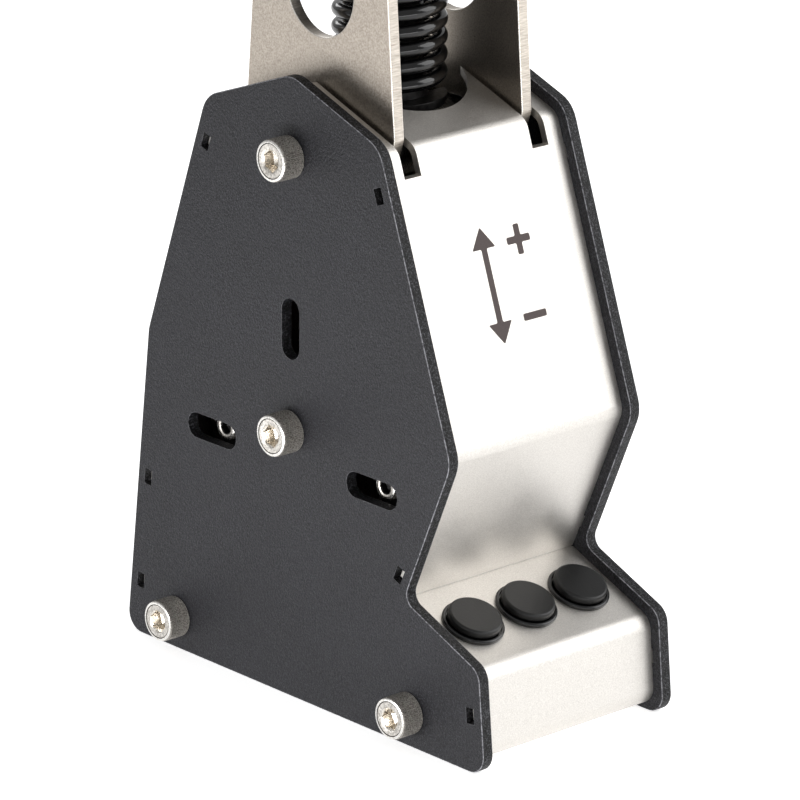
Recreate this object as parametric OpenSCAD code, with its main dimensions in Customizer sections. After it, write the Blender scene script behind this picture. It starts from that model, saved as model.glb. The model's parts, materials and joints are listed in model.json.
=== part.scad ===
// Sequential gear shifter for a racing rig: folded-sheet housing, two-plate lever, sprung detent.
// Millimetres. The origin is on the underside, straight below the lever's pivot.
// X runs across the housing, -Y is the front with the buttons, +Z is up.

/* [Housing] */
// Gap between the two side plates
inner_w = 70; // [66:1:90]
// Thickness of a side plate
side_t = 4; // [3:0.5:6]
// Height of the side plates at their peak
peak_z = 195.8; // [190:0.2:215]
// Drop from the peak to the two shoulders
shoulder_drop = 14.2; // [12:0.1:18]
// Distance of each shoulder from the lever's centre line
shoulder_y = 38.9; // [36:0.1:44]
// Distance of the front nose from the centre line
nose_y = 70.7; // [68:0.1:76]
// Height of the front nose
nose_z = 92.4; // [86:0.1:100]
// Distance of the throat above the button panel from the centre line
throat_y = 51; // [48:0.1:53]
// Height of the throat
throat_z = 45.8; // [44:0.1:50]
// Distance of the button box's top front corner from the centre line
ledge_y = 83.7; // [80:0.1:90]
// Height of the button box's top front corner
ledge_z = 32.2; // [30:0.1:36]
// Distance of the front foot from the centre line
front_foot_y = 86.8; // [84:0.1:96]
// Distance of the rear bend from the centre line
rear_bend_y = 66.6; // [64:0.1:72]
// Height of the rear bend
rear_bend_z = 101.8; // [92:0.1:112]
// Distance of the rear foot from the centre line
rear_foot_y = 78.2; // [74:0.1:88]
// Rounding of the side plates' upper corners
corner_r = 10; // [6:0.5:12]
// Rounding of the side plates' feet
foot_r = 6; // [3:0.5:8]
// Rounding in the throat of the side plates
throat_r = 4; // [2:0.5:6]

/* [Covers] */
// Thickness of the folded cover sheet
cover_t = 2.5; // [1.5:0.1:3]
// How far the side plates stand proud of the covers
cover_margin = 3.6; // [3:0.1:5]
// Height of the covers' underside above the floor
cover_bottom_z = 1.8; // [1:0.1:3]
// Outside radius of the bends
bend_r = 6; // [4:0.5:8]
// Length of the turned-in lip under the front and the back
lip_len = 12; // [8:1:16]
// Gap at each seam between two covers
seam = 0.3; // [0.1:0.1:0.6]
// Length of a locating tab along the sheet
tab_len = 4.2; // [3:0.1:6]
// How far a tab reaches into the side plate
tab_reach = 1.6; // [1:0.1:3.8]
// Clearance round a tab in its slot
tab_clear = 0.4; // [0.2:0.1:0.6]
// Drop of the upper tabs below the peak
tab_drop = 28.6; // [27.5:0.1:34]
// Height of the middle tabs
tab_mid_z = 53; // [50:0.1:60]
// Height of the lower tabs
tab_low_z = 17.7; // [14:0.1:22]
// Clearance of the roof slots round each lever plate
roof_slot_clear = 1.25; // [1:0.05:2]
// Radius of the hole in the roof round the plunger
roof_hole_r = 23.5; // [23:0.1:26]

/* [Bolts] */
// Diameter of the cap screws through the side plates
bolt_d = 8; // [6:1:8]
// Diameter of their heads
bolt_head_d = 13; // [12:0.5:15]
// Length of the cap screws under the head
bolt_len = 25; // [20:1:28]
// Distance of the cross bars and their cap screws from the pivot's plane
bar_y = 53.7; // [50:0.1:56]
// Height of the lower cap screws
bar_bolt_z = 10.8; // [10.5:0.1:13]
// Side of the square cross bars
bar_side = 14; // [12:0.5:15]

/* [Side plate slots] */
// Width of the access slots
slot_w = 8; // [6:0.5:9]
// Length of the two level slots
level_slot_len = 22.5; // [18:0.5:26]
// Length of the upright slot
upright_slot_len = 19; // [14:0.5:24]
// Height of the upright slot's centre above the pivot
upright_slot_rise = 32; // [30:0.5:38]

/* [Base] */
// Thickness of the base plate
base_t = 4; // [3:0.1:4]
// Spacing of the mounting threads across the housing
mount_dx = 50; // [44:1:52]
// Spacing of the mounting threads along the housing
mount_dy = 76; // [72:1:76]
// Radius of the mounting threads
mount_r = 3; // [2.5:0.5:3]
// Distance between the two countersunk screws in one cross bar
base_screw_dx = 16; // [12:1:20]

/* [Lever] */
// Height of the lever's pivot
pivot_z = 85.5; // [84:0.1:88]
// Most that the lever tilts each way, in degrees
tilt = 3; // [2:0.1:3]
// Gap between the two lever plates
lever_gap = 47.3; // [44:0.1:50]
// Thickness of a lever plate
lever_t = 4; // [3:0.5:5]
// Half width of a lever plate just under the roof
lever_half_low = 33; // [32:0.1:33.5]
// Half width of a lever plate at its top
lever_half_top = 22.7; // [20:0.1:26]
// Radius of the large hole above the roof
big_hole_r = 14.8; // [12:0.1:16]
// Height of the large hole above the peak
big_hole_rise = 24.4; // [22:0.1:28]
// Radius of the upper hole
small_hole_r = 10.5; // [8:0.1:12]
// Height of the upper hole above the large one
small_hole_rise = 38; // [36:0.1:42]
// Diameter of the pivot axle and the detent axle
axle_d = 15; // [14:0.5:15]
// Outer diameter of the pivot bearings
bearing_d = 24; // [22:0.5:25]
// Width of a pivot bearing
bearing_w = 5; // [4:0.5:7]
// Diameter of the pivot hub
hub_d = 40; // [38:1:42]

/* [End stops] */
// Distance of the buffers from the centre line
buffer_y = 36.5; // [35:0.1:37]
// Drop of the buffers below the pivot
buffer_drop = 9.4; // [8:0.1:11]
// Diameter of the buffers
buffer_d = 20; // [18:0.5:20]
// Thickness of the black washers over the buffers
washer_t = 1; // [0.8:0.1:1.6]
// Diameter of the stop posts' feet
post_d = 18; // [16:0.5:20]
// Diameter of the stop posts' necks
post_neck_d = 12; // [11.5:0.1:12.4]
// Height of the stop posts' feet
post_foot_h = 24; // [18:0.5:27]

/* [Detent] */
// Drop of the detent axle below the peak
detent_drop = 24.9; // [24:0.1:26]
// Diameter of the detent roller
roller_d = 26; // [24:0.5:27]
// Width of the detent roller
roller_w = 16; // [12:0.5:18]
// Angle of each flank of the plunger's notch
notch_angle = 15; // [13:1:16]
// Play between the notch and the roller at rest
notch_play = 1.9; // [1.8:0.1:2.2]
// Diameter of the plunger's rim
rim_d = 35; // [34:0.5:35.5]
// Height of the plunger's middle over its notch
rim_h = 3.6; // [3:0.1:5]
// Drop of the spring's seat below the plunger's middle
seat_drop = 5.45; // [5:0.05:5.6]
// Thickness of the plunger's rim at its front and rear edge
rim_t = 2.6; // [2:0.1:3]
// Height of the sleeve above the rim
sleeve_h = 30; // [24:1:36]
// Travel of the plunger
plunger_travel = 2; // [1.5:0.1:2.5]

/* [Spring] */
// Outer diameter of the spring
spring_d = 35; // [34:0.5:35.5]
// Diameter of the spring's wire
wire_d = 4.4; // [3.6:0.1:4.6]
// Height of one curl
spring_pitch = 5.45; // [5.4:0.05:6]
// Number of curls
curls = 13; // [11:1:14]

/* [Head] */
// Diameter of the guide rod
rod_d = 12; // [10:0.5:13]
// Thickness of the upper spring seat
seat_t = 6; // [4:0.5:8]
// Height of the preload nut
nut_h = 12; // [10:0.5:16]
// Diameter of the preload nut
nut_d = 34; // [30:0.5:38]
// Room left above the preload nut
nut_room = 6; // [4:0.5:10]
// Height of the top block
block_h = 26; // [26:0.5:34]
// Depth of the top block
block_depth = 34; // [28:0.5:36]
// Diameter of the lever shaft
shaft_d = 16; // [14:0.5:18]
// Length of the shaft above the block
shaft_rise = 22; // [16:1:40]
// Height of the knob
knob_h = 58; // [50:1:70]
// Largest diameter of the knob
knob_d = 42; // [36:0.5:46]

/* [Buttons] */
// Distance of the outer buttons from the side plates
button_side = 13.3; // [12.5:0.1:13.8]
// Distance of the buttons from the throat along the panel
button_run = 17.6; // [17:0.1:18.5]
// Diameter of a button's bezel
bezel_d = 19.4; // [18.5:0.1:20]
// Height of the bezel over the panel
bezel_h = 1.3; // [1.2:0.1:1.8]
// Diameter of a button's cap
cap_d = 16.8; // [16:0.1:17.6]
// Height of the cap's top over the panel
cap_h = 3.8; // [3.4:0.1:4.4]
// Travel of a button
button_travel = 0.8; // [0.7:0.1:0.9]
// Diameter of the threaded body behind the panel
barrel_d = 16; // [15:0.1:16]
// Length of the body behind the panel's front
barrel_len = 15; // [13:0.5:15.5]

/* [Electronics] */
// Length of the controller board
board_len = 50; // [44:1:54]
// Width of the controller board
board_w = 44; // [40:1:48]
// Height of the cable socket's centre
socket_z = 34; // [28:1:60]

/* [Hidden] */

// Clearances: run for a turning or sliding fit, air between bodies, bite in a threaded or pressed seat
run = 0.05;
air = 0.3;
bite = 0.03;
hole_play = 0.4;
small_play = 0.2;
over = 1;

// Colours
graphite = "#3f4044";
stainless = "#b9b2a8";
zinc = "#c9c8c6";
blackened = "#1d1d1f";
rubber_black = "#232325";
circuit_green = "#1f4d35";

// Vectors and outlines in the (y, z) plane
function unit(v) = v / norm(v);
function left_of(v) = [-v[1], v[0]];
function cross2(a, b) = a[0] * b[1] - a[1] * b[0];
function meet(p, d, q, e) = p + d * cross2(q - p, e) / cross2(d, e);
function inset(pts, d) =
    let (n = len(pts))
    [for (i = [0 : n - 1])
        let (a = pts[(i + n - 1) % n], b = pts[i], c = pts[(i + 1) % n])
        meet(b + left_of(unit(b - a)) * d, b - a, b + left_of(unit(c - b)) * d, c - b)];
function at_height(p, q, z) = p + (q - p) * (z - p[1]) / (q[1] - p[1]);
function arc_steps(sweep) = max(2, ceil(abs(sweep) / 9));
function round_corner(a, b, c, r) =
    let (u = unit(a - b), v = unit(c - b), half = acos(u * v) / 2)
    let (centre = b + unit(u + v) * r / sin(half), start = b + u * r / tan(half) - centre)
    let (turn = cross2(b - a, c - b) > 0 ? 1 : -1, sweep = turn * (180 - 2 * half))
    let (n = arc_steps(sweep))
    [for (k = [0 : n])
        let (t = sweep * k / n)
        centre + [start[0] * cos(t) - start[1] * sin(t), start[0] * sin(t) + start[1] * cos(t)]];
function rounded(pts, radii) =
    let (n = len(pts))
    [for (i = [0 : n - 1])
        each radii[i] > 0
            ? round_corner(pts[(i + n - 1) % n], pts[i], pts[(i + 1) % n], radii[i])
            : [pts[i]]];
function backwards(list) = [for (i = [len(list) - 1 : -1 : 0]) list[i]];

// Side plate outline, from the rear foot over the peak to the front foot
side_outline = [
    [rear_foot_y, 0], [rear_bend_y, rear_bend_z], [shoulder_y, peak_z - shoulder_drop],
    [0, peak_z], [-shoulder_y, peak_z - shoulder_drop], [-nose_y, nose_z],
    [-throat_y, throat_z], [-ledge_y, ledge_z], [-front_foot_y, 0]
];
side_radii = [foot_r, corner_r, corner_r, corner_r, corner_r, corner_r, throat_r, foot_r, foot_r];
REAR_FOOT = 0;
REAR_BEND = 1;
REAR_SHOULDER = 2;
PEAK = 3;
SHOULDER = 4;
NOSE = 5;
THROAT = 6;
LEDGE = 7;
FRONT_FOOT = 8;

// The covers' outside and inside profiles
skin_out = inset(side_outline, cover_margin);
skin_in = inset(side_outline, cover_margin + cover_t);
inner_bend_r = bend_r - cover_t;

// Where the pieces sit
wall_x = inner_w / 2;
face_x = wall_x + side_t;
lever_x = lever_gap / 2;
lever_out_x = lever_x + lever_t;
detent_z = peak_z - detent_drop;
bore_z = bar_bolt_z;
bar_low_z = base_t;
buffer_z = pivot_z - buffer_drop;
roller_r = roller_d / 2;
axle_r = axle_d / 2;
notch_z = detent_z + roller_r + notch_play;
plunger_mid_z = notch_z + rim_h;
rim_top_z = plunger_mid_z - seat_drop;
spring_low_z = rim_top_z + air;
spring_len = curls * spring_pitch + wire_d;
spring_high_z = spring_low_z + spring_len;
seat_z = spring_high_z + air;
nut_z = seat_z + seat_t + air;
block_z = nut_z + nut_h + nut_room;
lever_top_z = block_z + block_h;
shaft_top_z = lever_top_z + shaft_rise;
big_hole_z = peak_z + big_hole_rise;
small_hole_z = big_hole_z + small_hole_rise;
upright_slot_z = pivot_z + upright_slot_rise;
tab_high_z = peak_z - tab_drop;
button_pitch = wall_x - button_side;

// Cap screws: head height equals the thread's diameter, socket half of it
module cap_screw(d, head_d, length, socket) {
    chamfer = d / 16;
    difference() {
        union() {
            cylinder(h = d - chamfer, d = head_d, $fn = 48);
            translate([0, 0, d - chamfer])
                cylinder(h = chamfer, d1 = head_d, d2 = head_d - 2 * chamfer, $fn = 48);
            translate([0, 0, -length])
                cylinder(h = length + chamfer, d = d, $fn = 32);
        }
        translate([0, 0, d / 2])
            cylinder(h = d, d = socket / cos(30), $fn = 6);
    }
}

// Countersunk screw with its flat face at z = 0, pointing up
module countersunk_screw(d, length, socket) {
    difference() {
        union() {
            cylinder(h = d / 2, d1 = 2 * d, d2 = d, $fn = 32);
            cylinder(h = length, d = d, $fn = 32);
        }
        translate([0, 0, -d])
            cylinder(h = 1.35 * d, d = socket / cos(30), $fn = 6);
    }
}

module hex_nut(across, height, bore) {
    difference() {
        cylinder(h = height, d = across / cos(30), $fn = 6);
        translate([0, 0, -over])
            cylinder(h = height + 2 * over, d = bore, $fn = 32);
    }
}

module ring(outer, inner, height) {
    difference() {
        cylinder(h = height, d = outer, $fn = 64);
        translate([0, 0, -over])
            cylinder(h = height + 2 * over, d = inner, $fn = 64);
    }
}

// Turns a (y, z) outline into a plate that starts at x = 0 and runs to +X
module upright(thickness) {
    rotate([90, 0, 90])
        linear_extrude(thickness)
            children();
}

// Puts a child that stands along +Z onto the X axis at height z, pointing to +X
module across_x(x, y, z) {
    translate([x, y, z])
        rotate([0, 90, 0])
            children();
}

// A slot along Y (angle 0) or along Z (angle 90), cut through a plate that starts at x
module slot_cut(x, thickness, y, z, length, width, angle) {
    straight = length - width;
    translate([x, y, z])
        rotate([angle, 0, 0]) {
            for (s = [-1, 1])
                across_x(-over, s * straight / 2, 0)
                    cylinder(h = thickness + 2 * over, d = width, $fn = 40);
            translate([-over, -straight / 2, -width / 2])
                cube([thickness + 2 * over, straight, width]);
        }
}

// Locating tabs: each is on one edge of the outline, at a height on the sheet's middle line
tab_edges = [
    [REAR_BEND, REAR_SHOULDER, tab_high_z], [REAR_FOOT, REAR_BEND, tab_mid_z],
    [REAR_FOOT, REAR_BEND, tab_low_z], [NOSE, SHOULDER, tab_high_z],
    [THROAT, NOSE, tab_mid_z], [FRONT_FOOT, LEDGE, tab_low_z]
];
skin_mid = inset(side_outline, cover_margin + cover_t / 2);
module at_tab(edge) {
    p = skin_mid[edge[0]];
    q = skin_mid[edge[1]];
    spot = at_height(p, q, edge[2]);
    translate([0, spot[0], spot[1]])
        rotate([atan2(q[1] - p[1], q[0] - p[0]), 0, 0])
            children();
}
module tab(edge) {
    at_tab(edge)
        translate([-wall_x - tab_reach, -tab_len / 2, -cover_t / 2])
            cube([inner_w + 2 * tab_reach, tab_len, cover_t]);
}
module tab_stub(edge) {
    difference() {
        tab(edge);
        at_tab(edge)
            translate([-wall_x + tab_reach, -tab_len, -cover_t])
                cube([inner_w - 2 * tab_reach, 2 * tab_len, 2 * cover_t]);
    }
}
module tab_slots() {
    slot_len = tab_len + 2 * tab_clear;
    slot_h = cover_t + 2 * tab_clear;
    for (edge = tab_edges)
        at_tab(edge)
            translate([-face_x - over, -slot_len / 2, -slot_h / 2])
                cube([2 * (face_x + over), slot_len, slot_h]);
}

bolt_places = [[0, detent_z], [0, pivot_z], [-bar_y, bore_z], [bar_y, bore_z]];

module side_plate(x) {
    difference() {
        translate([x, 0, 0])
            upright(side_t)
                polygon(rounded(side_outline, side_radii));
        for (place = bolt_places)
            across_x(x - over, place[0], place[1])
                cylinder(h = side_t + 2 * over, d = bolt_d + hole_play, $fn = 48);
        for (s = [-1, 1])
            slot_cut(x, side_t, s * buffer_y, buffer_z, level_slot_len, slot_w, 0);
        slot_cut(x, side_t, 0, upright_slot_z, upright_slot_len, slot_w, 90);
        tab_slots();
    }
}

module left_side_plate() {
    color(graphite)
        side_plate(-face_x);
}

module right_side_plate() {
    color(graphite)
        side_plate(wall_x);
}

// One folded sheet: it follows the skin over the listed corners, with the two ends pulled back
module sheet(outside, inside, outer_radii, inner_radii, first_gap, last_gap) {
    n = len(outside) - 1;
    first_dir = unit(outside[1] - outside[0]) * first_gap;
    last_dir = unit(outside[n - 1] - outside[n]) * last_gap;
    outer_path = [for (i = [0 : n])
        outside[i] + (i == 0 ? first_dir : i == n ? last_dir : [0, 0])];
    inner_path = [for (i = [0 : n])
        inside[i] + (i == 0 ? first_dir : i == n ? last_dir : [0, 0])];
    translate([-wall_x, 0, 0])
        upright(inner_w)
            polygon(rounded(
                concat(outer_path, backwards(inner_path)),
                concat(outer_radii, backwards(inner_radii))));
}

// The slots in which the lever plates swing, cut through the roof and down the upper face
roof_slot_drop = 11.2;
slot_low_z = peak_z - shoulder_drop - roof_slot_drop;
module roof_slots() {
    slot_x = lever_t + 2 * roof_slot_clear;
    for (s = [-1, 1])
        translate([s * (lever_x + lever_t / 2) - slot_x / 2, -2 * shoulder_y, slot_low_z])
            cube([slot_x, 4 * shoulder_y, peak_z]);
    translate([0, 0, slot_low_z])
        cylinder(h = peak_z, r = roof_hole_r, $fn = 96);
}

// The foot corners of the skin lie at the covers' underside
function foot_out(foot, next) = at_height(skin_out[foot], skin_out[next], cover_bottom_z);
function foot_in(foot, next) = at_height(skin_in[foot], skin_in[next], cover_bottom_z + cover_t);

module front_cover() {
    color(stainless)
        union() {
            difference() {
                sheet(
                    [for (i = [PEAK : THROAT]) skin_out[i]],
                    [for (i = [PEAK : THROAT]) skin_in[i]],
                    [0, bend_r, bend_r, 0], [0, inner_bend_r, inner_bend_r, 0], seam / 2, seam / 2);
                roof_slots();
            }
            tab_stub(tab_edges[3]);
            tab_stub(tab_edges[4]);
        }
}

module button_cover() {
    toe_out = foot_out(FRONT_FOOT, LEDGE);
    toe_in = foot_in(FRONT_FOOT, LEDGE);
    color(stainless)
        union() {
            difference() {
                sheet(
                    [skin_out[THROAT], skin_out[LEDGE], toe_out, toe_out + [lip_len, 0]],
                    [skin_in[THROAT], skin_in[LEDGE], toe_in, [toe_out[0] + lip_len, toe_in[1]]],
                    [0, bend_r, bend_r, 0], [0, inner_bend_r, inner_bend_r, 0], seam / 2, 0);
                for (i = [-1 : 1])
                    on_panel(i)
                        translate([0, 0, -2 * cover_t])
                            cylinder(h = 3 * cover_t, d = barrel_d + hole_play, $fn = 64);
            }
            tab_stub(tab_edges[5]);
        }
}

module rear_cover() {
    heel_out = foot_out(REAR_FOOT, REAR_BEND);
    heel_in = foot_in(REAR_FOOT, REAR_BEND);
    color(stainless)
        union() {
            difference() {
                sheet(
                    [heel_out - [lip_len, 0], heel_out, skin_out[REAR_BEND],
                        skin_out[REAR_SHOULDER], skin_out[PEAK]],
                    [[heel_out[0] - lip_len, heel_in[1]], heel_in, skin_in[REAR_BEND],
                        skin_in[REAR_SHOULDER], skin_in[PEAK]],
                    [0, bend_r, bend_r, bend_r, 0],
                    [0, inner_bend_r, inner_bend_r, inner_bend_r, 0], 0, seam / 2);
                roof_slots();
                on_back()
                    socket_hole();
            }
            for (i = [0 : 2])
                tab_stub(tab_edges[i]);
        }
}

// Base plate and what stands on it
base_front_y = -foot_out(FRONT_FOOT, LEDGE)[0] - lip_len - seam;
base_rear_y = foot_out(REAR_FOOT, REAR_BEND)[0] - lip_len - seam;
base_screw_d = 5;
module at_base_screws() {
    for (sx = [-1, 1], sy = [-1, 1])
        translate([sx * base_screw_dx / 2, sy * bar_y, 0])
            children();
}
module at_mounts() {
    for (sx = [-1, 1], sy = [-1, 1])
        translate([sx * mount_dx / 2, sy * mount_dy / 2, 0])
            children();
}
module at_posts() {
    for (sy = [-1, 1])
        translate([0, sy * buffer_y, 0])
            children();
}
module countersink(d) {
    translate([0, 0, -bite])
        cylinder(h = d / 2, d1 = 2 * d + 4 * bite, d2 = d + 4 * bite, $fn = 32);
    translate([0, 0, -over])
        cylinder(h = base_t + 2 * over, d = d + hole_play, $fn = 32);
}

module base_plate() {
    color(graphite)
        difference() {
            translate([-wall_x, -base_front_y, 0])
                cube([inner_w, base_front_y + base_rear_y, base_t]);
            at_mounts()
                translate([0, 0, -over])
                    cylinder(h = base_t + 2 * over, r = mount_r, $fn = 48);
            at_base_screws()
                countersink(base_screw_d);
            at_posts()
                countersink(post_screw_d);
            at_standoffs()
                translate([0, 0, -over])
                    cylinder(h = base_t + 2 * over, d = board_screw_d + small_play, $fn = 24);
        }
}

module base_screws() {
    color(zinc)
        at_base_screws()
            countersunk_screw(base_screw_d, base_screw_len, 3);
}
base_screw_len = 12;

module mount_nuts() {
    color(zinc)
        at_mounts()
            translate([0, 0, base_t])
                hex_nut(3.4 * mount_r, 1.7 * mount_r, 2 * mount_r);
}

module cross_bar(sy) {
    difference() {
        translate([-wall_x, sy * bar_y - bar_side / 2, bar_low_z])
            cube([inner_w, bar_side, bar_side]);
        for (sx = [-1, 1])
            across_x(sx * wall_x, sy * bar_y, bore_z)
                thread_bore(sx);
        for (sx = [-1, 1])
            translate([sx * base_screw_dx / 2, sy * bar_y, 0])
                cylinder(h = base_screw_len + over, d = base_screw_d + 2 * bite, $fn = 32);
    }
}
// Blind thread for a side cap screw, bored from the end at x = 0 towards the middle
module thread_bore(side) {
    depth = bolt_len - side_t + over;
    translate([0, 0, side > 0 ? -depth : -over])
        cylinder(h = depth + over, d = bolt_d + 2 * bite, $fn = 48);
}

module front_cross_bar() {
    color(zinc)
        cross_bar(-1);
}

module rear_cross_bar() {
    color(zinc)
        cross_bar(1);
}

module side_bolts(side) {
    for (place = bolt_places)
        across_x(side * face_x, place[0], place[1])
            rotate([0, side > 0 ? 0 : 180, 0])
                cap_screw(bolt_d, bolt_head_d, bolt_len, 0.75 * bolt_d);
}

module left_bolts() {
    color(zinc)
        side_bolts(-1);
}

module right_bolts() {
    color(zinc)
        side_bolts(1);
}

module axle(z) {
    difference() {
        across_x(-wall_x, 0, z)
            cylinder(h = inner_w, d = axle_d, $fn = 64);
        for (sx = [-1, 1])
            across_x(sx * wall_x, 0, z)
                thread_bore(sx);
    }
}

module pivot_axle() {
    color(zinc)
        axle(pivot_z);
}

module pivot_sleeves() {
    start = lever_x + air;
    color(blackened)
        for (sx = [-1, 1])
            across_x(sx > 0 ? start : -wall_x, 0, pivot_z)
                ring(sleeve_d, axle_d + 2 * bite, wall_x - start);
}
sleeve_wall = 1;
sleeve_d = axle_d + 2 * sleeve_wall;
pivot_hole_play = 1.4;
pivot_hole_d = sleeve_d + pivot_hole_play;

module detent_axle() {
    color(zinc)
        axle(detent_z);
}

collar_w = 4;
collar_wall = 1.5;
module detent_collars() {
    color(blackened)
        for (sx = [-1, 1])
            across_x(sx > 0 ? roller_w / 2 + air : -roller_w / 2 - air - collar_w, 0, detent_z)
                ring(axle_d + 2 * collar_wall, axle_d + 2 * bite, collar_w);
}

module detent_roller() {
    chamfer = 1;
    color(zinc)
        across_x(0, 0, detent_z)
            rotate_extrude($fn = 96)
                polygon([
                    [axle_r + run, -roller_w / 2], [roller_r - chamfer, -roller_w / 2],
                    [roller_r, -roller_w / 2 + chamfer], [roller_r, roller_w / 2 - chamfer],
                    [roller_r - chamfer, roller_w / 2], [axle_r + run, roller_w / 2]]);
}

// End stops: a stepped post, a bracket strip, a lock nut and an adjusting screw under each buffer
post_screw_d = 6;
post_screw_depth = 12;
stop_d = 8;
stop_head_h = 5.3;
lock_nut_h = 6.5;
bracket_t = 2;
stop_show = 2;
buffer_fall = buffer_y * sin(tilt) + buffer_drop * (cos(tilt) - 1);
stop_top_z = buffer_z - buffer_d / 2 - buffer_fall - air;
nut_low_z = stop_top_z - stop_head_h - stop_show - lock_nut_h;
post_top_z = nut_low_z - bracket_t;
stop_thread = 20;
stop_across = 13;
module stop_post(sy) {
    translate([0, sy * buffer_y, 0])
        difference() {
            union() {
                translate([0, 0, base_t])
                    cylinder(h = post_foot_h, d = post_d, $fn = 64);
                translate([0, 0, base_t])
                    cylinder(h = post_top_z - base_t, d = post_neck_d, $fn = 64);
            }
            cylinder(h = base_t + post_screw_depth, d = post_screw_d + 2 * bite, $fn = 32);
            translate([0, 0, post_top_z - stop_thread])
                cylinder(h = stop_thread + over, d = stop_d + 2 * bite, $fn = 32);
        }
}

module front_stop_post() {
    color(zinc)
        stop_post(-1);
}

module rear_stop_post() {
    color(zinc)
        stop_post(1);
}

module post_screws() {
    color(zinc)
        at_posts()
            countersunk_screw(post_screw_d, base_t + post_screw_depth - 2 * over, 4);
}

module stop_screws() {
    color(zinc)
        at_posts()
            translate([0, 0, stop_top_z - stop_head_h]) {
                cylinder(h = stop_head_h, d = stop_across / cos(30), $fn = 6);
                translate([0, 0, -stop_thread])
                    cylinder(h = stop_thread + stop_head_h / 2, d = stop_d, $fn = 32);
            }
}

module stop_lock_nuts() {
    color(zinc)
        at_posts()
            translate([0, 0, nut_low_z])
                hex_nut(stop_across, lock_nut_h, stop_d + 2 * bite);
}

// Sensor under the hub
sensor_screw_d = 3;
sensor_dy = 22;
sensor_w = 18;
sensor_spacer_h = 6;
sensor_board_t = 1.6;
sensor_board_edge = 4;
bracket_reach = buffer_y + stop_across / 2;
module at_sensor_screws(z) {
    for (sy = [-1, 1])
        translate([0, sy * sensor_dy / 2, z])
            children();
}

module sensor_bracket() {
    color(zinc)
        difference() {
            translate([-sensor_w / 2, -bracket_reach, post_top_z])
                cube([sensor_w, 2 * bracket_reach, bracket_t]);
            at_posts()
                translate([0, 0, post_top_z - over])
                    cylinder(h = bracket_t + 2 * over, d = stop_d + hole_play, $fn = 32);
            at_sensor_screws(post_top_z - over)
                cylinder(h = bracket_t + 2 * over, d = sensor_screw_d + 2 * bite, $fn = 24);
        }
}

module sensor_spacers() {
    color(rubber_black)
        at_sensor_screws(post_top_z + bracket_t)
            ring(small_head_d, sensor_screw_d + 2 * bite, sensor_spacer_h);
}

sensor_board_z = post_top_z + bracket_t + sensor_spacer_h;
module sensor_board() {
    chip = [4, 3, 1.5];
    color(circuit_green)
        difference() {
            union() {
                translate([-sensor_w / 2, -sensor_dy / 2 - sensor_board_edge, sensor_board_z])
                    cube([sensor_w, sensor_dy + 2 * sensor_board_edge, sensor_board_t]);
                translate([-chip[0] / 2, -chip[1] / 2, sensor_board_z])
                    cube([chip[0], chip[1], sensor_board_t + chip[2]]);
            }
            at_sensor_screws(sensor_board_z - over)
                cylinder(h = sensor_board_t + 2 * over, d = sensor_screw_d + small_play, $fn = 24);
        }
}

module sensor_screws() {
    color(zinc)
        at_sensor_screws(sensor_board_z + sensor_board_t) {
            cylinder(h = small_head_h, d = small_head_d, $fn = 32);
            translate([0, 0, -sensor_spacer_h - sensor_board_t - bracket_t])
                cylinder(h = sensor_spacer_h + sensor_board_t + bracket_t, d = sensor_screw_d, $fn = 24);
        }
}

// Controller board on four standoffs
small_head_h = 1.8;
small_head_d = 5.5;
board_screw_len = 7;
standoff_h = 8;
board_screw_d = 3;
board_t = 1.6;
board_inset = 4;
module at_standoffs() {
    for (sx = [-1, 1], sy = [-1, 1])
        translate([sx * (board_len / 2 - board_inset), sy * (board_w / 2 - board_inset), 0])
            children();
}

module board_standoffs() {
    color(zinc)
        at_standoffs()
            translate([0, 0, base_t])
                ring(small_head_d, board_screw_d + 2 * bite, standoff_h);
}

module controller_board() {
    board_z = base_t + standoff_h;
    chip = [12, 12, 1.2];
    plug = [8, 7, 6];
    plug_x = board_len / 2 - board_inset - (small_head_d + plug[0]) / 2 - small_play;
    header = [24, 6, 6];
    edge = 2;
    color(circuit_green)
        difference() {
            union() {
                translate([-board_len / 2, -board_w / 2, board_z])
                    cube([board_len, board_w, board_t]);
                translate([-chip[0] / 2, -chip[1] / 2, board_z])
                    cube([chip[0], chip[1], board_t + chip[2]]);
                for (s = [-1, 1])
                    translate([s * plug_x - plug[0] / 2, board_w / 2 - plug[1] - edge, board_z])
                        cube([plug[0], plug[1], board_t + plug[2]]);
                translate([-header[0] / 2, -board_w / 2 + edge, board_z])
                    cube([header[0], header[1], board_t + header[2]]);
            }
            at_standoffs()
                translate([0, 0, board_z - over])
                    cylinder(h = board_t + 2 * over, d = board_screw_d + small_play, $fn = 24);
        }
}

module board_screws() {
    color(zinc)
        at_standoffs()
            translate([0, 0, base_t + standoff_h + board_t]) {
                cylinder(h = small_head_h, d = small_head_d, $fn = 32);
                translate([0, 0, -board_screw_len])
                    cylinder(h = board_screw_len, d = board_screw_d, $fn = 24);
            }
}

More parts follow.
